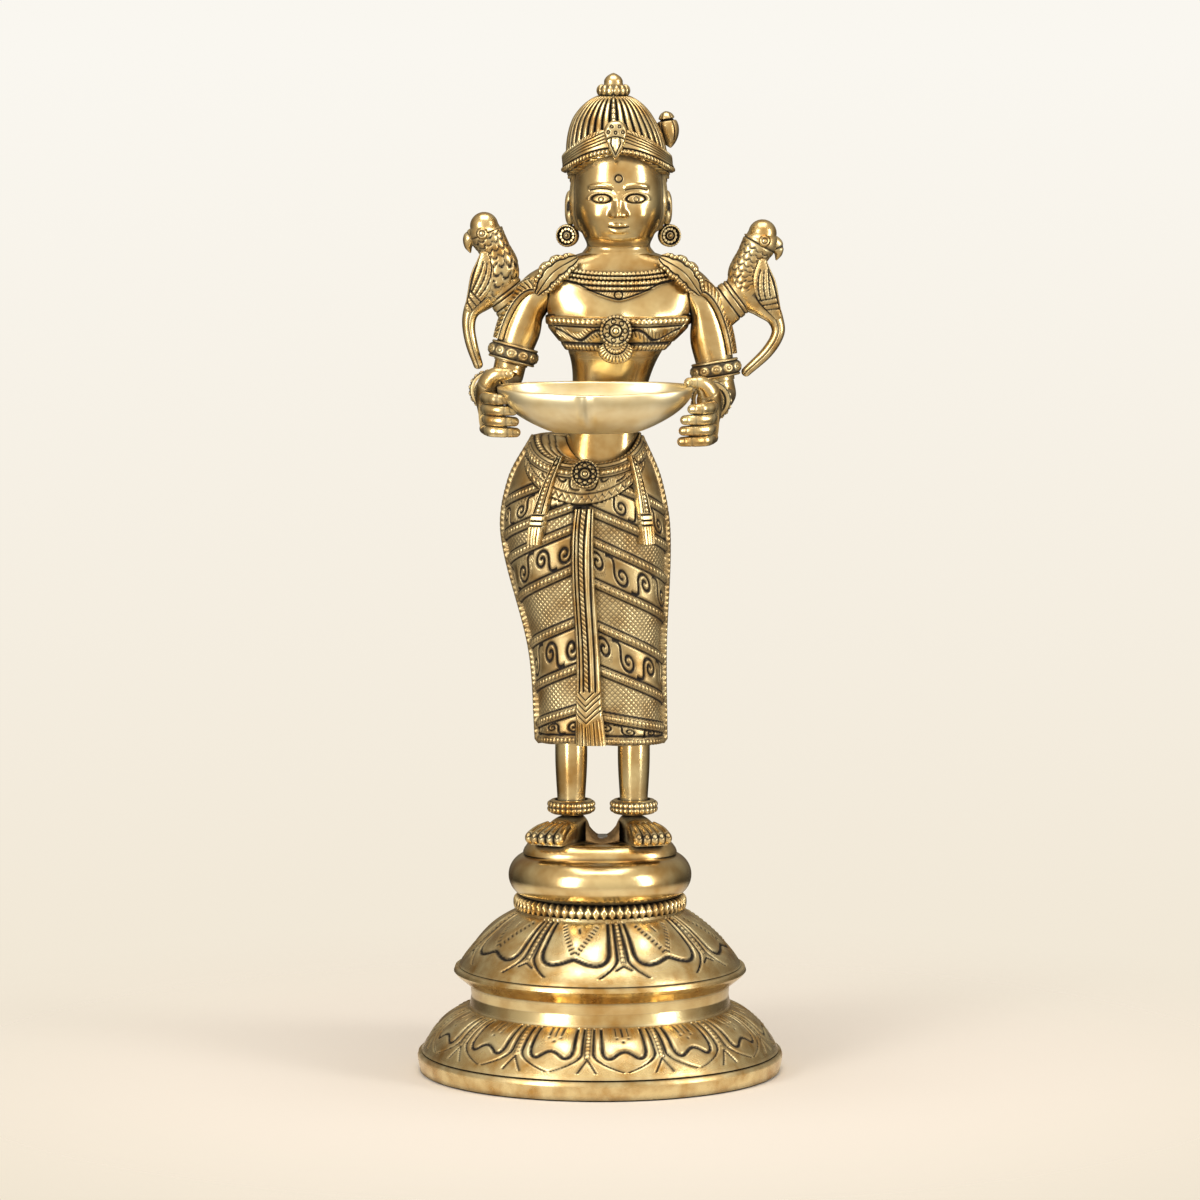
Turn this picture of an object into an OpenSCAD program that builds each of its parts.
// Standing brass lamp bearer on a two-tier lotus pedestal, holding an oil dish in both hands.
// Millimetres. Z is up, the figure faces -Y, and the origin is the centre of the pedestal's foot.
// "right" and "left" are the figure's own sides: right is -X and left is +X.

/* [Pedestal] */
// Diameter of the foot tier's rim
base_d = 130; // [120:1:150]
// Height of the rolled rim
rim_h = 7; // [5:0.5:8]
// Height of the foot tier, rim included
foot_tier_h = 23; // [19:0.5:30]
// Diameter of the plain drum between the tiers
drum_d = 93; // [88:1:96]
// Height of the drum
drum_h = 8.5; // [6:0.5:12]
// Diameter of the upper tier's flange
flange_d = 104; // [100:1:110]
// Height of the flange's edge
flange_h = 6; // [4:0.5:7]
// Height of the upper tier, flange included
upper_tier_h = 27; // [24:0.5:34]
// Diameter of the beaded collar
collar_d = 59.6; // [57:0.2:64]
// Height of the beaded collar
collar_h = 4; // [3:0.5:6]
// Diameter of the cushion at its fullest
cushion_d = 65; // [62:0.5:70]
// Height of the cushion
cushion_h = 15.5; // [12:0.5:20]
// Wall of the hollow castings
wall = 4; // [3:0.5:5]
// Depth of the register lip between two tiers
lip_h = 3; // [2:0.5:4]

/* [Fixing] */
// Diameter of the fixing stud
stud_d = 8; // [6:0.5:10]
// Depth of the stud in the footplate
stud_depth = 6; // [4:0.5:7]
// Length of stud that stands out below the nut
stud_tail = 4; // [2:0.5:8]
// Diameter of the washer
washer_d = 24; // [18:1:30]
// Thickness of the washer
washer_t = 2; // [1:0.5:3]
// Nut width across its flats
nut_af = 13; // [12:0.5:17]
// Height of the nut
nut_h = 6.5; // [5:0.5:8]
// Radial clearance of the stud in the pedestal
stud_gap = 0.25; // [0.15:0.05:0.5]

/* [Feet and legs] */
// Length of the footplate across the figure
plate_l = 55; // [52:1:60]
// Depth of the footplate, front to back
plate_w = 38; // [34:1:42]
// Thickness of the footplate
plate_h = 4.5; // [4:0.5:7]
// How far the footplate's sides slope in
plate_slope = 3; // [1:0.5:4]
// Height of the saddle between the feet, above the footplate
saddle_h = 5; // [3:0.5:7]
// Length of a foot
foot_l = 30; // [26:0.5:32]
// Width of a foot at its toes
foot_w = 14; // [12:0.5:16]
// Height of a foot at the ankle
foot_h = 9; // [7:0.5:12]
// Diameter of a shin
shin_d = 11; // [9:0.2:12]
// Length of a shin, from the foot to the skirt's hem
shin_l = 27; // [23:0.5:34]
// Height of an anklet
anklet_h = 5; // [4:0.5:7]
// Thickness of an anklet
anklet_t = 2.2; // [1.6:0.2:3]
// Place of the right shin across the figure
right_leg_x = -10.2; // [-12:0.2:-9]
// Place of the left shin across the figure
left_leg_x = 12; // [10:0.2:13]
// Place of the shins behind the stud
leg_y = 3; // [1:0.5:5]

/* [Skirt] */
// Height of the skirt, from its hem to its edge at the hips
skirt_h = 107.5; // [98:0.5:118]
// Width of the skirt at its hem
hem_w = 45; // [42:0.5:50]
// Width of the skirt at the knees
knee_w = 47; // [44:0.5:52]
// Width of the skirt at the hips
hip_w = 58; // [54:0.5:62]
// Width of the skirt at its upper edge
waist_w = 38; // [36:0.5:42]
// Depth of the skirt at its hem
hem_depth = 33; // [30:0.5:38]
// Depth of the skirt at the hips
hip_depth = 41; // [38:0.5:46]
// Depth of the skirt at its upper edge
waist_depth = 30; // [29:0.5:34]
// How far the hips sway to the figure's right
hip_sway = 6; // [0:0.5:8]
// How far the skirt's edge dips at the front
front_dip = 9; // [5:0.5:12]
// How far the cloth between the skirt's slanting bands lies below them
cloth_drop = 0.8; // [0.4:0.1:1]
// How far the ropes stand out at the skirt's sides
rope_h = 1.1; // [0.6:0.1:1.6]
// Width of the pleated panel at its top
pleat_top_w = 6.5; // [5:0.5:9]
// Width of the pleated panel at its fringe
pleat_hem_w = 14; // [11:0.5:17]
// Thickness of the pleated panel and sashes
fold_t = 2; // [1.4:0.2:3]
// Length of a sash
sash_l = 31; // [26:1:38]
// Width of a sash at its tassel
sash_w = 6; // [5:0.5:8]
// Diameter of the belt's buckle
buckle_d = 9.4; // [8:0.2:11]

/* [Torso] */
// Height of the torso, from the skirt's edge to the neck
torso_h = 65; // [60:0.5:70]
// Depth of the socket in the skirt, below its edge at the hips
socket_h = 13; // [12:0.5:16]
// Width of the torso at the waist
waist_body_w = 25.4; // [24:0.2:28]
// Depth of the torso at the waist
waist_body_depth = 20.4; // [19:0.2:23]
// Width of the chest between the arms
chest_w = 50; // [46:0.5:54]
// Depth of the chest
chest_depth = 25; // [23:0.5:28]
// How far the bust stands proud of the chest
bust_h = 4; // [2:0.5:6]
// How far the chest sways to the figure's left
chest_sway = 6.5; // [0:0.5:8]
// Width of the neck
neck_w = 25.5; // [23:0.5:28]
// Depth of the neck
neck_depth = 22; // [20:0.5:25]
// Height of the bodice
bodice_h = 12.5; // [10:0.5:14]
// Thickness of the bodice and collars
trim_t = 1.4; // [1:0.1:2]
// Diameter of the bodice's brooch
brooch_d = 10.6; // [9:0.2:12]

/* [Head] */
// Height of the head, from the neck's foot to the top of the skull
head_h = 42.5; // [40:0.5:48]
// Width of the face
face_w = 31; // [29:0.2:33]
// Depth of the head, front to back
head_depth = 31; // [28:0.5:35]
// Height of the neck
neck_h = 3.5; // [2:0.5:6]
// Width of the crown at its foot
crown_w = 37.5; // [36:0.5:42]
// Depth of the crown, front to back
crown_depth = 37; // [36:0.5:41]
// How far the crown leans to the figure's right
crown_lean = 1.8; // [0:0.2:3]
// Height of the crown's dome above the skull
crown_top_h = 12.5; // [9:0.5:15]
// Height of the diadem over the brow
band_h = 9; // [6:0.5:10]
// Number of ribs round the crown
crown_ribs = 36; // [28:2:44]
// Depth of the flutes between the ribs
flute_h = 0.8; // [0.4:0.1:1.2]
// Diameter of the finial's collar
finial_d = 11; // [9:0.5:13]
// Height of the finial
finial_h = 8; // [7:0.5:11]
// Height of an ear
ear_h = 12.5; // [11:0.5:13]
// How far an ear stands out from the head
ear_t = 3.6; // [2.4:0.2:5]
// Diameter of an earring
earring_d = 7; // [6:0.2:8]

/* [Arms] */
// Diameter of an arm at the shoulder
shoulder_d = 17; // [15:0.5:18]
// Diameter of an arm at the elbow
elbow_d = 12; // [11:0.2:13]
// Diameter of an arm at the wrist
wrist_d = 9.6; // [8:0.2:10]
// Drop from the right shoulder to the elbow
right_arm_drop = 26.5; // [23:0.5:30]
// Drop from the left shoulder to the elbow
left_arm_drop = 33; // [29:0.5:36]
// How far the right elbow stands out from the shoulder
right_arm_out = 13; // [10:0.5:15]
// How far the left elbow stands out from the shoulder
left_arm_out = 10; // [8:0.5:13]
// Height of an armlet
armlet_h = 6; // [5:0.5:8]
// Thickness of an armlet
armlet_t = 1.8; // [1.4:0.2:2.6]
// Height of a bangle
bangle_h = 3; // [2:0.5:4]
// Thickness of a finger
finger_d = 4.2; // [3.8:0.2:5]

/* [Oil dish] */
// Length of the dish between the hands
dish_l = 68; // [64:0.5:72]
// Depth of the dish, front to back
dish_w = 42; // [38:0.5:46]
// Height of the dish
dish_h = 15.5; // [13:0.5:19]
// Wall of the dish at its rim
dish_wall = 2.2; // [1.6:0.2:3]
// Height of the dish's foot above the skirt's edge at the hips
dish_rise = 5; // [2:0.5:8]
// Place of the dish in front of the stud
dish_y = -40.5; // [-40.5:0.5:-38]

/* [Parrots] */
// Place of the right parrot's head, out from the shoulder
right_bird_out = 21.6; // [20:0.2:24]
// Place of the left parrot's head, out from the shoulder
left_bird_out = 25; // [23:0.2:25.4]
// Height of the right parrot's head above the shoulder
right_bird_up = 18.6; // [15:0.2:21]
// Height of the left parrot's head above the shoulder
left_bird_up = 16; // [13:0.2:19]
// Diameter of a parrot's head
bird_head_d = 12.4; // [11:0.2:13.2]
// Thickness of a parrot's breast
bird_depth = 12; // [10:0.5:14]
// Thickness of a parrot's tail
tail_d = 4.6; // [4:0.2:6]
// Length of a parrot's tail below its hip
tail_l = 22; // [18:0.5:26]
// Width of the strap between a parrot and its arm
strap_w = 6; // [5:0.5:8]
// Thickness of the strap
strap_t = 1.6; // [1.2:0.2:2.4]

/* [Fit] */
// Film of solder between pieces that are brazed together
seat_gap = 0.2; // [0.1:0.05:0.3]

/* [Hidden] */
brass = [0.80, 0.62, 0.30];
steel = [0.62, 0.63, 0.64];
$fn = 64;
hull_fn = 8;
bird_fn = 10;
body_sides = 40;
limb_sides = 14;
front = -90;

// Heights of the stack, from the pedestal's foot up
drum_z = foot_tier_h;
upper_z = drum_z + drum_h;
collar_z = upper_z + upper_tier_h;
cushion_z = collar_z + collar_h;
plate_z = cushion_z + cushion_h;
sole_z = plate_z + plate_h;
ankle_z = sole_z + foot_h;
hem_z = ankle_z + shin_l;
hip_edge_z = hem_z + skirt_h;
socket_z = hip_edge_z - socket_h;
neck_z = hip_edge_z + torso_h;
skull_z = neck_z + head_h;
crown_z = skull_z + crown_top_h;
deck_z = collar_z - wall;
dish_z = hip_edge_z + dish_rise;

// Half-turn helpers and smooth curves through a few stations [place, value, value, ...]
function unit(v) = v / norm(v);
function span(rows, t, i = 0) =
    i >= len(rows) - 2 || t <= rows[i + 1][0] ? i : span(rows, t, i + 1);
function rate(rows, i, c) =
    let (a = max(i - 1, 0), b = min(i + 1, len(rows) - 1))
    (rows[b][c] - rows[a][c]) / (rows[b][0] - rows[a][0]);
function smooth(rows, t, c) =
    let (i = span(rows, t), h = rows[i + 1][0] - rows[i][0], u = (t - rows[i][0]) / h)
    (2 * u ^ 3 - 3 * u ^ 2 + 1) * rows[i][c] + (u ^ 3 - 2 * u ^ 2 + u) * h * rate(rows, i, c)
    + (3 * u ^ 2 - 2 * u ^ 3) * rows[i + 1][c] + (u ^ 3 - u ^ 2) * h * rate(rows, i + 1, c);
function bezier(p, steps) = [
    for (i = [0:steps])
        let (u = i / steps, v = 1 - u)
        v ^ 3 * p[0] + 3 * v ^ 2 * u * p[1] + 3 * v * u ^ 2 * p[2] + u ^ 3 * p[3]
];
// Unit outline of a rounded box; power 2 is an ellipse
function oval(a, power) = [
    sign(cos(a)) * abs(cos(a)) ^ (2 / power),
    sign(sin(a)) * abs(sin(a)) ^ (2 / power)
];
// Share of an outline angle that faces the front, from 0 to 1
function frontness(a) = max(0, -sin(a));
function outward(a) = [cos(a), sin(a), 0];
function turns(n) = [for (i = [0:n - 1]) front + 360 * i / n];

// Closed skin over a list of rings with equal counts of points, capped at both ends
module skin(rings) {
    n = len(rings[0]);
    m = len(rings);
    sides = [
        for (i = [0:m - 2], j = [0:n - 1])
            let (a = i * n + j, b = i * n + (j + 1) % n)
            each [[a, a + n, b + n], [a, b + n, b]]
    ];
    foot = [[for (j = [0:n - 1]) j]];
    head = [[for (j = [n - 1:-1:0]) (m - 1) * n + j]];
    polyhedron([for (r = rings) each r], concat(foot, sides, head), convexity = 10);
}

// Ring of a limb about point p, square to direction t, with half-widths ra and rb
function limb_ring(p, t, ra, rb, side_axis = [0, 0, 1]) =
    let (s = unit(cross(t, side_axis)), u = cross(t, s))
    [for (i = [0:limb_sides - 1]) p + ra * cos(360 * i / limb_sides) * s + rb * sin(360 * i / limb_sides) * u];
function path_point(rows, t) = [smooth(rows, t, 1), smooth(rows, t, 2), smooth(rows, t, 3)];
function path_way(rows, t) =
    let (d = 0.01, lo = max(t - d, rows[0][0]), hi = min(t + d, rows[len(rows) - 1][0]))
    unit(path_point(rows, hi) - path_point(rows, lo));

// Chain of hulls between balls [point, diameter]
module chain(balls) {
    for (i = [0:len(balls) - 2])
        hull() for (b = [balls[i], balls[i + 1]]) translate(b[0]) sphere(d = b[1], $fn = hull_fn);
}

// Pedestal: turned castings, each registered on the one below by a lip

tier_lip_r = drum_d / 2 - 2 * wall;
upper_lip_r = drum_d / 2 - wall;

module turned(outline) {
    rotate_extrude() polygon(outline);
}

module foot_tier() {
    edge_r = base_d / 2;
    seat_r = drum_d / 2 + 0.6;
    rise = foot_tier_h - rim_h;
    dome = bezier([
        [edge_r - 1.4, rim_h + 0.5],
        [edge_r - 4.6, rim_h + rise * 0.42],
        [seat_r + 7.6, rim_h + rise * 0.86],
        [seat_r, foot_tier_h]
    ], 10);
    inside = [for (p = dome) [min(p[0] - wall, edge_r - wall - 2), max(p[1] - wall, wall / 2)]];
    color(brass) turned(concat(
        [[edge_r - 1.6, 0], [edge_r - 0.9, 0.5], [edge_r - 0.2, rim_h * 0.6], [edge_r, rim_h * 0.8]],
        [[edge_r - 0.4, rim_h], [edge_r - 2, rim_h]],
        dome,
        [[tier_lip_r, foot_tier_h], [tier_lip_r, foot_tier_h - wall]],
        [for (i = [len(inside) - 2:-1:0]) inside[i]],
        [[edge_r - wall - 2, 0]]
    ));
}

module waist_drum() {
    r = drum_d / 2;
    color(brass) turned([
        [tier_lip_r - wall, drum_z - lip_h], [tier_lip_r - seat_gap, drum_z - lip_h],
        [tier_lip_r - seat_gap, drum_z], [r, drum_z], [r - 0.7, drum_z + drum_h / 2],
        [r - 0.4, drum_z + drum_h], [upper_lip_r, drum_z + drum_h],
        [upper_lip_r, drum_z + drum_h - lip_h], [tier_lip_r - wall, drum_z + drum_h - lip_h - wall / 2]
    ]);
}

module upper_tier() {
    r = flange_d / 2;
    top_r = collar_d / 2;
    rise = upper_tier_h - flange_h;
    dome = bezier([
        [r - 1.8, upper_z + flange_h + 0.4],
        [r - 4.8, upper_z + flange_h + rise * 0.32],
        [top_r + 6.6, collar_z - rise * 0.2],
        [top_r, collar_z - 1]
    ], 10);
    inside = [for (p = dome) if (p[1] < collar_z - wall / 2) [p[0] - wall - 1, min(p[1] - 0.5, deck_z)]];
    lip_r = upper_lip_r - seat_gap;
    color(brass) turned(concat(
        [[lip_r - wall, upper_z - lip_h], [lip_r, upper_z - lip_h], [lip_r, upper_z]],
        [[drum_d / 2 + 0.4, upper_z], [r - 1, upper_z + flange_h * 0.55], [r, upper_z + flange_h * 0.75]],
        [[r - 0.5, upper_z + flange_h], [r - 2.6, upper_z + flange_h + 0.2]],
        dome,
        [[top_r, collar_z], [stud_d / 2 + stud_gap, collar_z], [stud_d / 2 + stud_gap, deck_z]],
        [[min(inside[len(inside) - 1][0], top_r - wall), deck_z]],
        [for (i = [len(inside) - 2:-1:0]) [min(inside[i][0], lip_r - wall), inside[i][1]]]
    ));
}

module beaded_collar() {
    r = collar_d / 2;
    bead = collar_h / 2;
    color(brass) turned(concat(
        [[r - 3 * wall, collar_z], [r - bead, collar_z]],
        [for (a = [-60:30:60]) [r - bead + (bead + 0.5) * cos(a), collar_z + bead + bead * sin(a)]],
        [[r - bead, collar_z + collar_h], [r - 3 * wall, collar_z + collar_h]]
    ));
}

module cushion() {
    r = cushion_d / 2;
    foot_r = collar_d / 2 - 1.6;
    seat_r = r - 6;
    half = cushion_h / 2;
    hole_r = stud_d / 2 + stud_gap;
    color(brass) turned(concat(
        [[foot_r - 2.5 * wall, cushion_z], [foot_r, cushion_z]],
        [for (a = [-75:15:60]) [r - half + half * cos(a), cushion_z + half + half * sin(a)]],
        [[seat_r - 3, cushion_z + cushion_h], [hole_r, cushion_z + cushion_h]],
        [[hole_r, cushion_z + cushion_h - 1.5 * wall], [foot_r - 2.5 * wall, cushion_z + cushion_h - 2 * wall]]
    ));
}

// Fixing: a stud in the footplate, drawn down by a washer and nut under the upper tier's deck

washer_z = deck_z - washer_t;
nut_z = washer_z - nut_h;

module fixing_stud() {
    color(steel) translate([0, 0, nut_z - stud_tail])
        cylinder(d = stud_d, h = plate_z + stud_depth - nut_z + stud_tail);
}

module clamp_washer() {
    color(steel) translate([0, 0, washer_z]) difference() {
        cylinder(d = washer_d, h = washer_t);
        translate([0, 0, -1]) cylinder(d = stud_d + 2 * seat_gap, h = washer_t + 2);
    }
}

module clamp_nut() {
    color(steel) translate([0, 0, nut_z]) difference() {
        cylinder(d = nut_af / cos(30), h = nut_h, $fn = 6);
        translate([0, 0, -1]) cylinder(d = stud_d + seat_gap, h = nut_h + 2);
    }
}

// Feet and legs

module footplate() {
    end_r = plate_w / 2;
    top_r = end_r - plate_slope;
    reach = plate_l / 2 - end_r;
    saddle_w = left_leg_x - right_leg_x - shin_d - 4.6;
    saddle_x = (left_leg_x + right_leg_x) / 2;
    scoop_r = 2 * saddle_w;
    color(brass) difference() {
        union() {
            for (x = [-reach, reach]) translate([x, 0, plate_z]) cylinder(r1 = end_r, r2 = top_r, h = plate_h);
            translate([-reach, 0, plate_z]) rotate([90, 0, 90]) linear_extrude(2 * reach)
                polygon([[-end_r, 0], [end_r, 0], [top_r, plate_h], [-top_r, plate_h]]);
            translate([saddle_x - saddle_w / 2, leg_y - 9, sole_z - 1]) cube([saddle_w, 13, saddle_h + 1]);
        }
        translate([saddle_x, -plate_w, sole_z + scoop_r + 1]) rotate([-90, 0, 0])
            cylinder(r = scoop_r, h = 2 * plate_w);
        translate([0, 0, plate_z - 1]) cylinder(d = stud_d + seat_gap, h = stud_depth + 1 + seat_gap);
    }
}

// Foot pointing along -Y, turned out by angle, with its ankle over the shin
module foot(x, angle) {
    toe_r = foot_w / 9;
    color(brass) translate([x, leg_y, sole_z]) rotate(angle) intersection() {
        union() {
            hull() {
                translate([0, 0, foot_h - 0.2]) cylinder(r = shin_d / 2 + 1, h = 0.2, $fn = 20);
                translate([0, shin_d / 2, foot_h / 3]) sphere(d = shin_d, $fn = hull_fn);
                translate([0, -foot_l * 0.35, foot_h * 0.3]) sphere(d = shin_d * 1.15, $fn = hull_fn);
            }
            hull() for (dx = [-1, 1]) {
                translate([dx * foot_w * 0.12, 0, foot_h * 0.2]) sphere(d = shin_d, $fn = hull_fn);
                translate([dx * foot_w * 0.3, -foot_l * 0.58, foot_h * 0.25]) sphere(d = foot_w * 0.5, $fn = hull_fn);
            }
            for (i = [0:4])
                let (dx = (i - 2) * foot_w * 0.185, reach = foot_l * (0.79 - 0.03 * abs(i - 1.5)))
                chain([
                    [[dx * 0.8, -foot_l * 0.46, foot_h * 0.42], toe_r * 2.3],
                    [[dx, -reach + toe_r * 2, foot_h * 0.34], toe_r * 2.5],
                    [[dx, -reach + toe_r, foot_h * 0.2], toe_r * 2.2]
                ]);
        }
        translate([-foot_l, -foot_l, 0]) cube([2 * foot_l, 2 * foot_l, foot_h]);
    }
}

right_foot_turn = -28;
left_foot_turn = 19;
module right_foot() foot(right_leg_x, right_foot_turn);
module left_foot() foot(left_leg_x, left_foot_turn);

module shin(x) {
    r = shin_d / 2;
    color(brass) translate([x, leg_y, ankle_z]) turned(concat(
        [[0, 0]],
        [for (i = [0:8]) [r * (0.94 + 0.1 * sin(180 * i / 8 - 60)), shin_l * i / 8]],
        [[0, shin_l]]
    ));
}
module right_shin() shin(right_leg_x);
module left_shin() shin(left_leg_x);

module anklet(x) {
    r = shin_d / 2 * 1.05 + seat_gap;
    half = anklet_h / 2;
    color(brass) translate([x, leg_y, ankle_z + seat_gap]) turned(concat(
        [[r, 0]],
        [for (a = [-60:30:60]) [r + anklet_t * (0.35 + 0.65 * cos(a)), half + half * sin(a)]],
        [[r, anklet_h]]
    ));
}
module right_anklet() anklet(right_leg_x);
module left_anklet() anklet(left_leg_x);

// Skirt: one loft whose upper edge dips at the front and is bored for the torso

skirt_power = 2.3;
knee_z = hem_z + 0.3 * skirt_h;
hip_z = hem_z + 0.68 * skirt_h;
belt_z = hem_z + 0.86 * skirt_h;
skirt_rows = [
    [hem_z, 0.4, 0, hem_w / 2, hem_depth / 2],
    [knee_z, -hip_sway * 0.15, 0, knee_w / 2, hem_depth / 2 + 0.8],
    [hip_z, -hip_sway * 0.85, 0.5, hip_w / 2, hip_depth / 2],
    [belt_z, -hip_sway * 0.9, 0.5, (hip_w + waist_w) / 4 + 2.2, (hip_depth + waist_depth) / 4 + 1.2],
    [hip_edge_z, -hip_sway * 0.75, 0, waist_w / 2, waist_depth / 2]
];
function skirt_at(a, z, grow = 0) =
    let (o = oval(a, skirt_power))
    [smooth(skirt_rows, z, 1) + o[0] * (smooth(skirt_rows, z, 3) + grow),
     smooth(skirt_rows, z, 2) + o[1] * (smooth(skirt_rows, z, 4) + grow), z];
function skirt_edge(a) = hip_edge_z - front_dip * frontness(a) ^ 1.6;

// Slanting bands, from the hem up: heights of their two edges at the middle, and their fall per length outwards
bands = [
    [0.02 * skirt_h, 0.115 * skirt_h, 0.05, 0.26],
    [0.265 * skirt_h, 0.417 * skirt_h, 0.41, 0.45],
    [0.575 * skirt_h, 0.708 * skirt_h, 0.46, 0.45],
    [0.792 * skirt_h, 0.898 * skirt_h, 0.4, 0.37]
];
band_soft = 0.011 * skirt_h;
function sum(v) = v * [for (k = v) 1];
// Length along the skirt's outline at one height, from the middle of its front or back
function skirt_run(a, z) =
    let (from = sin(a) > 0.001 ? -front : front, to = from > 0 ? a : a > 90 ? a - 360 : a, n = 6)
    sum([for (i = [1:n])
        norm(skirt_at(from + (to - from) * i / n, z) - skirt_at(from + (to - from) * (i - 1) / n, z))]);
// Rings that follow the bands' edges: height at the middle, fall, and depth below the bands
skirt_lines = [
    for (b = bands) each [
        [hem_z + b[0] - band_soft, b[2], cloth_drop], [hem_z + b[0] + band_soft, b[2], 0],
        [hem_z + b[1] - band_soft, b[3], 0], [hem_z + b[1] + band_soft, b[3], cloth_drop]
    ]
];

module skirt() {
    last = len(skirt_lines);
    step = 0.1 * band_soft;
    angles = turns(body_sides);
    rope = [for (a = angles) abs(sin(a)) < 0.01 ? rope_h : 0];
    hem = [for (j = [0:body_sides - 1]) skirt_at(angles[j], hem_z, rope[j])];
    edge = [for (j = [0:body_sides - 1]) skirt_at(angles[j], skirt_edge(angles[j]), rope[j])];
    chased = [
        for (i = [0:last - 1])
            [for (j = [0:body_sides - 1])
                let (
                    a = angles[j], line = skirt_lines[i], z = line[0] - line[1] * skirt_run(a, line[0] - 8),
                    held = min(max(z, hem_z + step * (i + 1)), skirt_edge(a) - step * (last - i))
                )
                skirt_at(a, held, rope[j] > 0 ? rope[j] : -line[2])]
    ];
    mouth = [for (a = angles) torso_at(a, skirt_edge(a), 2 * seat_gap)];
    floor_ring = [for (a = angles) torso_at(a, socket_z, 2 * seat_gap)];
    color(brass) skin(concat([hem], chased, [edge, mouth, floor_ring]));
}

// Raised strip up the skirt along stations [height, outline angle, half-width in degrees]
module skirt_strip(rows, levels) {
    inner = 2 * seat_gap;
    outer = inner + fold_t;
    color(brass) skin([
        for (i = [0:levels])
            let (
                z = rows[0][0] + (rows[len(rows) - 1][0] - rows[0][0]) * i / levels,
                a = smooth(rows, z, 1), w = smooth(rows, z, 2)
            )
            concat(
                [for (k = [-0.86, -0.3, 0.3, 0.86]) skirt_at(a + k * w, z, outer)],
                [for (k = [1, 0.33, -0.33, -1]) skirt_at(a + k * w, z, inner)]
            )
    ]);
}

// Outline angle that spans a width at the skirt's front
function front_angle(width, radius) = asin(min(0.9, width / 2 / radius));
pleat_top_z = hem_z + 0.78 * skirt_h;
module pleat_panel() {
    skirt_strip([
        [hem_z, front - 8, front_angle(pleat_hem_w, hem_w / 2) * 0.62],
        [hem_z + 0.16 * skirt_h, front - 8, front_angle(pleat_hem_w, hem_w / 2) * 0.5],
        [hem_z + 0.45 * skirt_h, front - 5, front_angle(pleat_top_w, hip_w / 2) * 1.05],
        [pleat_top_z, front, front_angle(pleat_top_w, hip_w / 2) * 0.75]
    ], 14);
}

sash_top_z = hip_edge_z - front_dip + 3.6;
module sash(angle, lean) {
    w = front_angle(sash_w, hip_w / 2);
    skirt_strip([
        [sash_top_z - sash_l, front + angle + lean, w],
        [sash_top_z - sash_l * 0.7, front + angle + lean * 0.7, w],
        [sash_top_z, front + angle, w * 0.5]
    ], 8);
}
module right_sash() sash(-20, -14);
module left_sash() sash(40, 4);

buckle_z = belt_z + 3.4;
module belt_buckle() {
    r = buckle_d / 2;
    lean = atan2(
        skirt_at(front, buckle_z + 1)[1] - skirt_at(front, buckle_z - 1)[1], 2);
    seat = skirt_at(front, buckle_z);
    color(brass) translate([seat[0], seat[1] - 3 * seat_gap, seat[2]]) rotate([90 - lean, 0, 0])
        turned([[0, 0], [r, 0], [r, 0.8], [r * 0.82, 1.6], [r * 0.5, 1.3], [r * 0.42, 2.2], [0, 2.6]]);
}

// Torso: a loft from the skirt's socket to the neck, flat where the arms are joined

chest_x = chest_sway;
bust_z = neck_z - 0.42 * torso_h;
shoulder_z = neck_z - 0.19 * torso_h;
waist_z = hip_edge_z + 0.22 * torso_h;
torso_rows = [
    [socket_z - 1, 0, 0, waist_body_w / 2 + 1, waist_body_depth / 2 + 0.8],
    [hip_edge_z, 0.7, 0, waist_body_w / 2 - 0.2, waist_body_depth / 2],
    [waist_z, chest_x * 0.45, 0, waist_body_w / 2, waist_body_depth / 2],
    [bust_z - 8, chest_x * 0.8, 0, waist_body_w / 2 + 3.5, waist_body_depth / 2 + 1],
    [bust_z + 3, chest_x, 0, chest_w / 2, chest_depth / 2],
    [shoulder_z, chest_x, 0, chest_w / 2 + 2.5, chest_depth / 2 - 0.5],
    [neck_z - 4, chest_x, 0.3, neck_w / 2 + 10.5, neck_depth / 2 + 0.6],
    [neck_z, chest_x, 0.5, neck_w / 2, neck_depth / 2]
];
function bust(x, z) =
    bust_h * exp(-((abs(x - chest_x) - chest_w * 0.2) / (chest_w * 0.13)) ^ 2 - ((z - bust_z) / 7) ^ 2);
function torso_at(a, z, grow = 0) =
    let (
        o = oval(a, 2.4),
        x = smooth(torso_rows, z, 1) + o[0] * (smooth(torso_rows, z, 3) + grow),
        y = smooth(torso_rows, z, 2) + o[1] * (smooth(torso_rows, z, 4) + grow),
        side = chest_w / 2 + grow
    )
    [min(max(x, chest_x - side), chest_x + side), y - bust(x, z) * frontness(a), z];

module torso() {
    levels = 14;
    color(brass) skin([
        for (i = [0:levels])
            let (z = socket_z + seat_gap + (neck_z - socket_z - seat_gap) * i / levels)
            [for (a = turns(body_sides)) torso_at(a, z)]
    ]);
}

// Raised strip round the torso's front, between two heights that are functions of the outline angle
module torso_strip(a0, a1, low, high, thick, steps, levels = 1) {
    inner = 3 * seat_gap;
    color(brass) skin([
        for (i = [0:steps])
            let (a = a0 + (a1 - a0) * i / steps, lo = low(a), hi = high(a), soft = (hi - lo) * 0.12)
            concat(
                [for (k = [0:levels]) torso_at(a, lo + (hi - lo) * k / levels, inner)],
                [for (k = [levels:-1:0]) torso_at(a, lo + soft + (hi - lo - 2 * soft) * k / levels, inner + thick)]
            )
    ]);
}

bodice_z = bust_z - bodice_h * 0.55;
module bodice() {
    reach = 58;
    torso_strip(front - reach, front + reach, function(a) bodice_z, function(a) bodice_z + bodice_h, trim_t, 20, 4);
}

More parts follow.
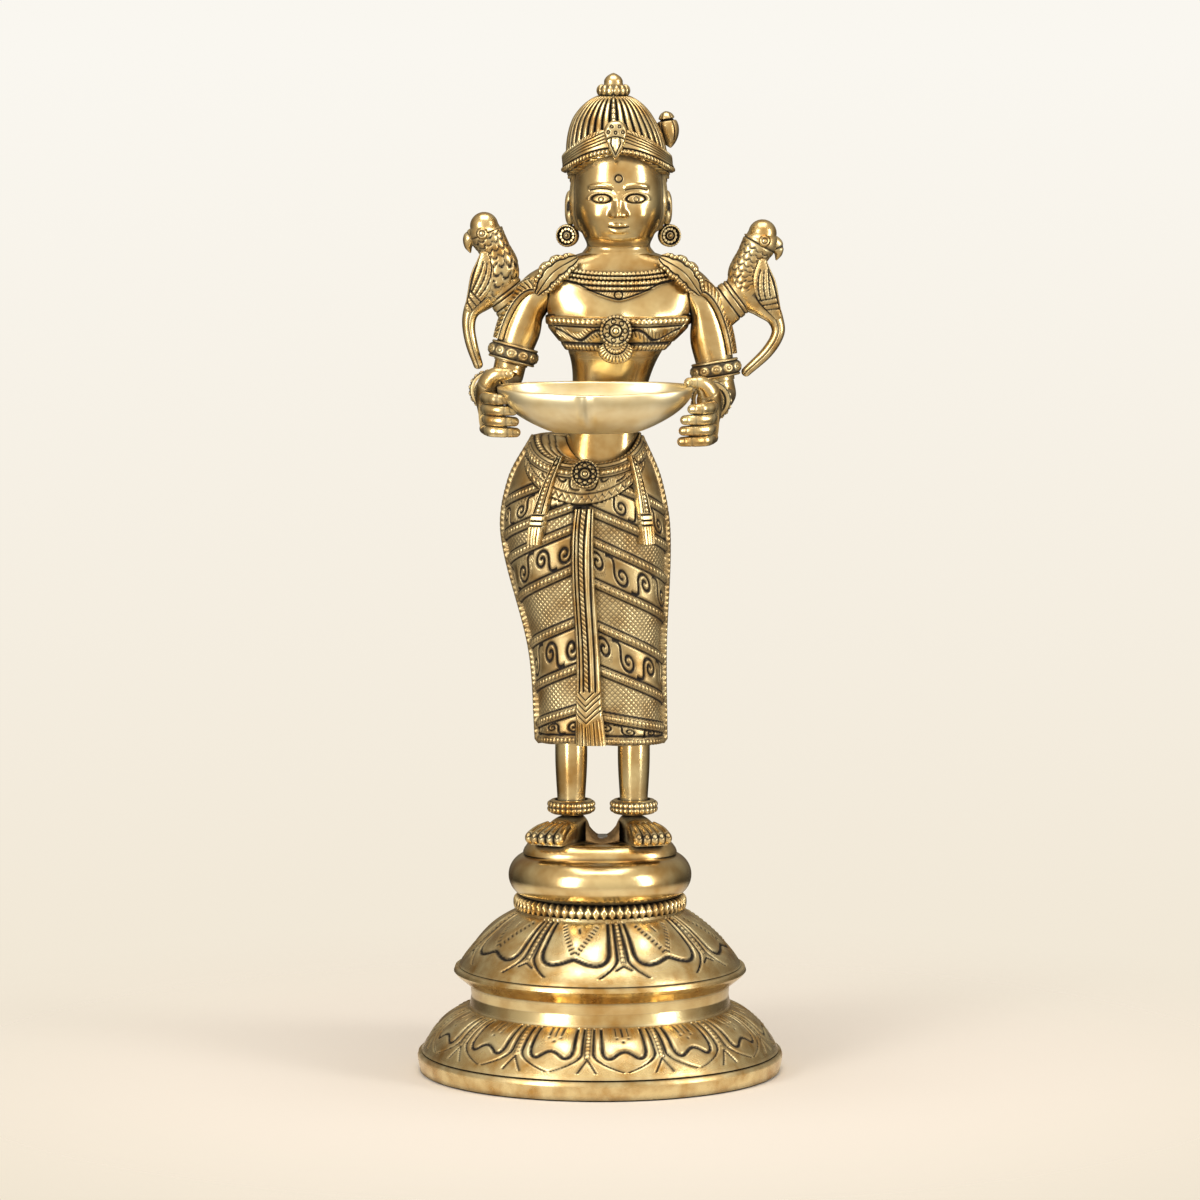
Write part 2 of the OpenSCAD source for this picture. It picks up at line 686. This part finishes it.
module bodice_brooch() {
    r = brooch_d / 2;
    z = bodice_z + bodice_h * 0.62;
    y = torso_at(front, z)[1] - bust_h * 0.55 - trim_t - 4 * seat_gap;
    fan_z = z - r - 1;
    color(brass) {
        translate([chest_x - 1, y, z]) rotate([90, 0, 0])
            turned([[0, 0], [r, 0], [r, 1.2], [r * 0.86, 2.2], [r * 0.3, 2.6], [0, 2.8]]);
        translate([chest_x - 1, y, fan_z]) rotate([90, 0, 0]) difference() {
            cylinder(r = r, h = 1.6);
            translate([-2 * r, 3, -1]) cube([4 * r, 2 * r, 4]);
        }
    }
}

// Height of a necklace at an outline angle: low at the throat, high beside the neck
function drape(a, drop) = neck_z - drop * frontness(a) ^ 1.4;
module necklace() {
    reach = 74;
    torso_strip(front - reach, front + reach,
        function(a) drape(a, 5.6) - 3.2, function(a) drape(a, 5.6) - 0.6, trim_t, 20, 2);
}
module yoke_collar() {
    reach = 66;
    torso_strip(front - reach, front + reach,
        function(a) drape(a, 7) - 4.6 - 5 * max(0, 1 - abs(a - front) / 26),
        function(a) drape(a, 5.6) - 3.6, trim_t, 22, 2);
}

// Leaf-shaped shoulder plate, hung from the neck over the arm's root
module epaulette(side) {
    root = [chest_x + side * (neck_w / 2 + 1.6), -neck_depth / 2, neck_z - 1];
    tip = [chest_x + side * (chest_w / 2 + 3.6), -shoulder_d / 2 - 1, shoulder_z - 1.5];
    middle = (root + tip) / 2 + [side * 1.4, -2.1, 1.2];
    rows = [[0, root[0], root[1], root[2]], [0.5, middle[0], middle[1], middle[2]], [1, tip[0], tip[1], tip[2]]];
    steps = 10;
    color(brass) skin([
        for (i = [0:steps])
            let (
                t = i / steps, p = path_point(rows, t), way = path_way(rows, t),
                across = unit(cross(way, [0, -1, 0])), out = unit(cross(across, way)),
                w = 0.9 + 3.9 * sin(180 * t) ^ 0.7
            )
            [p - across * w, p - across * w * 0.5 + out * trim_t, p + across * w * 0.5 + out * trim_t, p + across * w]
    ]);
}
module right_epaulette() epaulette(-1);
module left_epaulette() epaulette(1);

// Head: neck, face and skull as one loft

head_rows = [
    [neck_z, 0, 0.5, neck_w / 2, neck_depth / 2],
    [neck_z + neck_h * 0.7, 0, 0.4, neck_w / 2 - 1.6, neck_depth / 2 - 0.6],
    [neck_z + neck_h + 2.5, 0, -1.4, face_w * 0.4, head_depth * 0.4],
    [neck_z + neck_h + 10, 0, -1.2, face_w / 2, head_depth / 2 - 0.6],
    [neck_z + neck_h + 20, 0, -0.6, face_w / 2, head_depth / 2],
    [skull_z - 6, 0, 0, face_w * 0.41, head_depth * 0.42],
    [skull_z, 0, 0, face_w * 0.2, head_depth * 0.22]
];
function head_at(a, z, grow = 0) =
    let (o = oval(a, 2.15))
    [chest_x + o[0] * (smooth(head_rows, z, 3) + grow),
     smooth(head_rows, z, 2) + o[1] * (smooth(head_rows, z, 4) + grow), z];

nose_z = neck_z + neck_h + 9.5;
// Ridge of the nose, widest at its foot
function nose(a, z) =
    let (along = (z - nose_z) / 9)
    along < -0.25 || along > 1 ? 0
    : (along < 0 ? 1 + 4 * along : 1 - 0.72 * along) * 2.6 * max(0, 1 - abs(a - front) / 14);
module head() {
    levels = 16;
    color(brass) skin([
        for (i = [0:levels])
            let (z = neck_z + head_h * i / levels)
            [for (a = turns(32)) head_at(a, z) + [0, -nose(a, z), 0]]
    ]);
}

// Crown: a fluted dome hollowed for the skull, arched over the brow

brow_z = neck_z + neck_h + 31.2;
temple_z = neck_z + neck_h + 24;
nape_z = neck_z + neck_h + 15;
function crown_foot(a) =
    sin(a) < 0 ? temple_z + (brow_z - temple_z) * frontness(a) ^ 2 : temple_z + (nape_z - temple_z) * sin(a);
function crown_at(a, z, grow = 0) =
    let (
        share = max(0, (z - temple_z) / (crown_z - temple_z)),
        bow = sqrt(max(0.02, 1 - (share * 0.96) ^ 2.6)),
        o = oval(a, 2.1)
    )
    [chest_x - crown_lean * min(1, share * 1.4) + o[0] * (crown_w / 2 + grow) * bow,
     0.6 + o[1] * (crown_depth / 2 + grow) * bow, z];

module crown() {
    sides = 2 * crown_ribs;
    levels = 5;
    angles = turns(sides);
    fluted = [
        for (i = [0:levels])
            [for (j = [0:sides - 1])
                let (a = angles[j], foot_z = crown_foot(a))
                crown_at(a, foot_z + (crown_z - foot_z) * i / levels, -flute_h * (j % 2))]
    ];
    hollow = [
        for (i = [4:-1:0])
            [for (a = angles)
                let (foot_z = crown_foot(a), z = foot_z + (skull_z - foot_z) * i / 4)
                head_at(a, z, 3 * seat_gap) + [0, 0, i == 4 ? 2 * seat_gap : 0]]
    ];
    color(brass) skin(concat(hollow, fluted));
}

// Diadem: a plain band that follows the crown's arched foot
module crown_band() {
    reach = 88;
    steps = 22;
    inner = 2 * seat_gap;
    color(brass) skin([
        for (i = [0:steps])
            let (a = front - reach + 2 * reach * i / steps, z = crown_foot(a) + 0.4, h = band_h * (0.72 + 0.28 * frontness(a)))
            [crown_at(a, z, inner), crown_at(a, z + h / 2, inner), crown_at(a, z + h, inner),
             crown_at(a, z + h * 0.85, inner + trim_t), crown_at(a, z + h * 0.5, inner + trim_t),
             crown_at(a, z + h * 0.15, inner + trim_t)]
    ]);
}

module brow_jewel() {
    z = brow_z + 5;
    y = crown_at(front, z)[1] - trim_t - 4 * seat_gap - 0.5;
    color(brass) translate([chest_x - crown_lean * 0.6, y, z]) rotate([90, 0, 0]) {
        hull() for (p = [[0, 4.6, 2.4], [-1.6, 0, 2], [1.6, 0, 2], [0, -4.4, 1.2]])
            translate([p[0], p[1], 0]) cylinder(r1 = p[2], r2 = p[2] * 0.7, h = 2.4, $fn = 16);
    }
}

module finial() {
    r = finial_d / 2;
    ring_h = finial_h * 0.45;
    color(brass) translate([chest_x - crown_lean, 0.6, crown_z]) turned(concat(
        [[0, 0], [r * 0.8, 0]],
        [for (a = [-60:30:60]) [r * 0.72 + r * 0.28 * cos(a), ring_h / 2 + ring_h / 2 * sin(a)]],
        [[r * 0.62, ring_h], [r * 0.62, ring_h + 0.6]],
        bezier([[r * 0.6, ring_h + 0.9], [r * 0.6, finial_h - 1.6], [r * 0.25, finial_h - 0.4], [0, finial_h]], 6)
    ));
}

// Bud tucked behind the crown's edge on the figure's left
module hair_flower() {
    z = temple_z + 0.56 * (crown_z - temple_z);
    color(brass) translate(crown_at(16, z, 3.8)) rotate([0, -8, 0]) turned(concat(
        [[0, -6.4]],
        bezier([[1.2, -6.2], [3.8, -3], [3.6, 1], [2.6, 3.4]], 8),
        bezier([[2.8, 3.8], [2.6, 5.4], [1.4, 6.4], [0, 6.6]], 4)
    ));
}

ear_z = neck_z + neck_h + 12.4;
module ear(side) {
    edge = chest_x + side * (face_w / 2 + 0.3 + seat_gap);
    color(brass) translate([edge, 1.4, ear_z]) rotate([0, side * 90, 0]) hull() {
        translate([-ear_h * 0.28, 0, 0]) cylinder(r1 = ear_h * 0.24, r2 = ear_h * 0.2, h = ear_t, $fn = 20);
        translate([ear_h * 0.34, 0, 0]) cylinder(r1 = ear_h * 0.15, r2 = ear_h * 0.12, h = ear_t * 0.7, $fn = 20);
    }
}
module right_ear() ear(-1);
module left_ear() ear(1);

earring_z = ear_z - ear_h * 0.5 - earring_d / 2 - seat_gap;
module earring(side) {
    r = earring_d / 2;
    color(brass) translate([chest_x + side * (face_w / 2 + 2), 2.4, earring_z]) rotate([90, 0, side * 18])
        turned([[0, 0], [r * 0.86, 0], [r, 0.8], [r, 2.2], [r * 0.72, 3], [r * 0.5, 2.4], [r * 0.3, 3.2], [0, 3.4]]);
}
module right_earring() earring(-1);
module left_earring() earring(1);

// Arms: tubes from the flat shoulder faces to the elbow, then forward to the wrists

function shoulder_x(side) = chest_x + side * chest_w / 2;
function arm_drop(side) = side < 0 ? right_arm_drop : left_arm_drop;
function arm_out(side) = side < 0 ? right_arm_out : left_arm_out;
function arm_rows(side) =
    let (x = shoulder_x(side), out = side * arm_out(side), drop = arm_drop(side), z = shoulder_z)
    [
        [0, x, 0, z, shoulder_d / 2],
        [0.26, x + out * 0.4, -0.3, z - drop * 0.17, shoulder_d / 2 - 0.3],
        [0.6, x + out * 0.74, -0.8, z - drop * 0.56, (shoulder_d + elbow_d) / 4],
        [1, x + out, -1.4, z - drop, elbow_d / 2]
    ];
// The arm leaves the shoulder square to its flat face and turns evenly down to the elbow
function arm_way(side, t) =
    let (k = min(1, t / 0.75))
    unit([side, 0, 0] * (1 - k) + path_way(arm_rows(side), max(t, 0.75)) * k);
function arm_ring(side, t, grow = 0) =
    let (rows = arm_rows(side), r = smooth(rows, t, 4) + grow)
    limb_ring(path_point(rows, t), arm_way(side, t), r, r * 0.94, [0, 1, 0]);
module arm_tube(side, from, to, steps, grow = 0) {
    skin([for (i = [0:steps]) arm_ring(side, from + (to - from) * i / steps, grow)]);
}
module right_upper_arm() color(brass) arm_tube(-1, 0, 1, 12);
module left_upper_arm() color(brass) arm_tube(1, 0, 1, 12);

// Turns a piece made along +Z so that it lies along direction v
module aim(v) {
    rotate([0, acos(v[2] / norm(v)), atan2(v[1], v[0])]) children();
}

module ring_band(bore_r, height, thick) {
    half = height / 2;
    turned(concat(
        [[bore_r, -half], [bore_r + thick * 0.6, -half]],
        [for (a = [-50:25:50]) [bore_r + thick * (0.5 + 0.5 * cos(a)), half * sin(a)]],
        [[bore_r + thick * 0.6, half], [bore_r, half]]
    ));
}

module armlet(side) {
    rows = arm_rows(side);
    t = 0.88;
    color(brass) translate(path_point(rows, t)) aim(path_way(rows, t))
        ring_band(smooth(rows, t, 4) + seat_gap * 2.5, armlet_h, armlet_t);
}
module right_armlet() armlet(-1);
module left_armlet() armlet(1);

function hand_out(side) = side < 0 ? 3.6 : 6;
function wrist(side) =
    [dish_x + side * (dish_l / 2 + hand_out(side)), dish_y + 13, dish_z + dish_h - 4 + hand_lift(side)];
function forearm_rows(side) =
    let (
        e = path_point(arm_rows(side), 1), w = wrist(side),
        way = path_way(arm_rows(side), 1), bend = e + way * elbow_d * 0.42 + [0, -1.6, 0]
    )
    [
        [0, e[0], e[1], e[2], elbow_d / 2],
        [0.22, bend[0], bend[1], bend[2], elbow_d / 2 - 0.2],
        [0.5, (bend[0] + w[0]) / 2, e[1] - 11, (bend[2] * 0.6 + w[2] * 0.4) - 0.6, (elbow_d + wrist_d) / 4],
        [1, w[0], w[1], w[2], wrist_d / 2]
    ];
// The forearm leaves the elbow along the upper arm, turns evenly and ends square to the hand
function forearm_way(side, t) =
    let (k = min(1, t / 0.6), from = path_way(arm_rows(side), 1), along = path_way(forearm_rows(side), 0.75))
    t < 0.6 ? unit(from * (1 - k) + along * k) : unit(along * (1 - t) / 0.4 + [0, -1, 0] * (t - 0.6) / 0.4);
module forearm(side) {
    rows = forearm_rows(side);
    steps = 12;
    color(brass) skin([
        for (i = [0:steps])
            let (t = i / steps, way = forearm_way(side, t), r = smooth(rows, t, 4))
            limb_ring(path_point(rows, t), way, r, r * (0.94 + 0.06 * t), [side, 0.001, 0])
    ]);
}
module right_forearm() forearm(-1);
module left_forearm() forearm(1);

module bangle(side) {
    rows = forearm_rows(side);
    t = 0.9;
    color(brass) translate(path_point(rows, t)) aim(path_way(rows, t))
        ring_band(smooth(rows, t, 4) + seat_gap * 2.5, bangle_h, 1.4);
}
module right_bangle() bangle(-1);
module left_bangle() bangle(1);

// Oil dish: a boat-shaped bowl with a wick lip at the front

dish_x = -1.6;
lip_reach = 3;
// Outline of the dish at a share of its rim size, drawn out to a lip at the front
function dish_outline(a, share, inset = 0) =
    let (o = oval(a, 2.2), lip = lip_reach * max(0, 1 - abs(a - front) / 24) ^ 1.5)
    [dish_x + o[0] * (dish_l / 2 * share - inset), dish_y + o[1] * (dish_w / 2 * share - inset) - lip * share];
function dish_share(t) = 0.42 + 0.58 * sin(90 * t) ^ 0.8;
function dish_sag(a) = 1.8 * frontness(a);
function dish_ring(t, inset, rise) = [
    for (a = turns(body_sides))
        let (p = dish_outline(a, dish_share(t), inset))
        [p[0], p[1], dish_z + rise + t * (dish_h - rise - dish_sag(a))]
];
module oil_dish() {
    levels = 5;
    outside = [for (i = [0:levels]) dish_ring(i / levels, 0, 0)];
    inside = [for (i = [levels:-1:1]) dish_ring(i / levels, dish_wall, dish_wall)];
    color(brass) skin(concat(outside, inside));
}
// The space that the dish fills up to its rim, for pieces that grip it from outside
module dish_body(grow) {
    levels = 5;
    skin(concat(
        [[for (p = dish_ring(0, -grow, 0)) p - [0, 0, grow]]],
        [for (i = [1:levels]) dish_ring(i / levels, -grow, 0)]
    ));
}

// Hands: a palm outside each end of the dish, four fingers round its wall, and a thumb on its rim

function hand_lift(side) = side < 0 ? 1.6 : -1.6;
module hand(side) {
    w = wrist(side);
    top = w[2] + 1.2;
    out_x = w[0];
    near_y = dish_y + 3;
    color(brass) difference() {
        union() {
            hull() {
                translate(w) rotate([90, 0, 0]) cylinder(d = wrist_d, h = 0.2, $fn = limb_sides);
                for (i = [0:3])
                    translate([out_x + side * 0.6, near_y, top - finger_d * (0.5 + 0.9 * i)])
                        sphere(d = finger_d, $fn = hull_fn);
            }
            for (i = [0:3])
                let (z = top - finger_d * (0.5 + 0.9 * i), curl = finger_d * 0.12 * i)
                chain([
                    [[out_x + side * 0.6, near_y, z], finger_d],
                    [[out_x + side * 0.2 - side * curl, near_y - 6.5, z - 0.2], finger_d],
                    [[out_x - side * (6.4 + curl), near_y - 10.2 + curl, z - 0.4], finger_d * 0.92],
                    [[out_x - side * (11 + curl), near_y - 10 + curl, z - 0.6], finger_d * 0.8]
                ]);
            chain([
                [[out_x, near_y + 3, top - 1], finger_d * 1.1],
                [[out_x - side * 2.2, near_y - 2, top + 6.4], finger_d * 0.95],
                [[out_x - side * 7.5, near_y - 4.5, top + 6], finger_d * 0.8]
            ]);
        }
        dish_body(1.5 * seat_gap);
        translate([-base_d, w[1], 0]) cube([2 * base_d, dish_w, crown_z]);
    }
}
module right_hand() hand(-1);
module left_hand() hand(1);

// Parrots: perched on a strap that runs down the outside of each arm

strap_from = 0.2;
strap_to = 0.76;
module strap(side) {
    steps = 8;
    half = strap_w / shoulder_d * 115;
    color(brass) skin([
        for (i = [0:steps])
            let (
                t = strap_from + (strap_to - strap_from) * i / steps, rows = arm_rows(side),
                p = path_point(rows, t), way = arm_way(side, t),
                out = unit([side, -0.25, 0] - way * ([side, -0.25, 0] * way)), across = cross(way, out),
                r = smooth(rows, t, 4) + 1.5 * seat_gap
            )
            [for (k = [[-1, 0], [-0.4, 0], [0.4, 0], [1, 0], [0.85, strap_t], [0, strap_t], [-0.85, strap_t]])
                p + (r + k[1]) * (cos(half * k[0] / 2) * out - side * sin(half * k[0] / 2) * across * side)]
    ]);
}
module right_parrot_strap() strap(-1);
module left_parrot_strap() strap(1);

// Spheres joined in one hull and pressed flat, front to back
module pebble(balls, depth) {
    hull() for (b = balls) translate(b[0]) scale([1, depth, 1]) sphere(d = b[1], $fn = bird_fn);
}

module parrot(side) {
    head = [
        shoulder_x(side) + side * (side < 0 ? right_bird_out : left_bird_out), -1,
        shoulder_z + (side < 0 ? right_bird_up : left_bird_up)
    ];
    root = path_point(arm_rows(side), 0.34) + [side * 2.5, 0, 0];
    beak = head + [side * bird_head_d * 0.36, 0, -bird_head_d * 0.16];
    d = bird_head_d;
    nape = head + [-side * 0.4 * d, 0, -0.68 * d];
    breast = head + [-side * 0.34 * d, 0, -1.4 * d];
    hip = head + [side * 0.4 * d, 0, -1.94 * d];
    flat = bird_depth / (1.13 * d);
    curl = (side < 0 ? 0.1 : 0.46) * tail_l;
    color(brass) difference() {
        union() {
            chain([[head, d], [nape, 0.86 * d]]);
            pebble([[nape, 0.88 * d], [breast, 1.16 * d]], flat);
            pebble([[breast, 1.1 * d], [hip, tail_d * 1.5]], flat);
            pebble([[head + [-side * 0.12 * d, 0, -0.88 * d], 0.8 * d], [head + [side * 0.2 * d, 0, -1.5 * d], 0.8 * d],
                [hip, tail_d]], flat * 1.35);
            chain([[beak, d * 0.5], [beak + [side * 0.18 * d, 0, -0.26 * d], 0.16 * d]]);
            chain([
                [hip, tail_d * 1.4],
                [hip + [side * 0.25 * tail_d, 0, -0.3 * tail_l], tail_d],
                [hip + [side * 0.2 * tail_d - side * curl * 0.35, 0, -0.64 * tail_l], tail_d * 0.92],
                [hip + [-side * curl, 0, -tail_l], tail_d * 0.8]
            ]);
            pebble([[breast, 0.97 * d], [nape + [-side * 0.32 * d, 0, -0.48 * d], 0.72 * d], [root + [0, 0, 0.4 * d], 0.8 * d],
                [root + [0, 0, -0.56 * d], 0.72 * d]], flat);
        }
        arm_tube(side, 0, 1, 12, 3.5 * seat_gap + strap_t);
    }
}
module right_parrot() parrot(-1);
module left_parrot() parrot(1);

foot_tier();
waist_drum();
upper_tier();
beaded_collar();
cushion();
fixing_stud();
clamp_washer();
clamp_nut();
footplate();
right_foot();
left_foot();
right_shin();
left_shin();
right_anklet();
left_anklet();
skirt();
pleat_panel();
right_sash();
left_sash();
belt_buckle();
torso();
bodice();
bodice_brooch();
necklace();
yoke_collar();
right_epaulette();
left_epaulette();
head();
crown();
crown_band();
brow_jewel();
finial();
hair_flower();
right_ear();
left_ear();
right_earring();
left_earring();
right_upper_arm();
left_upper_arm();
right_armlet();
left_armlet();
right_forearm();
left_forearm();
right_bangle();
left_bangle();
right_hand();
left_hand();
oil_dish();
right_parrot();
left_parrot();
right_parrot_strap();
left_parrot_strap();
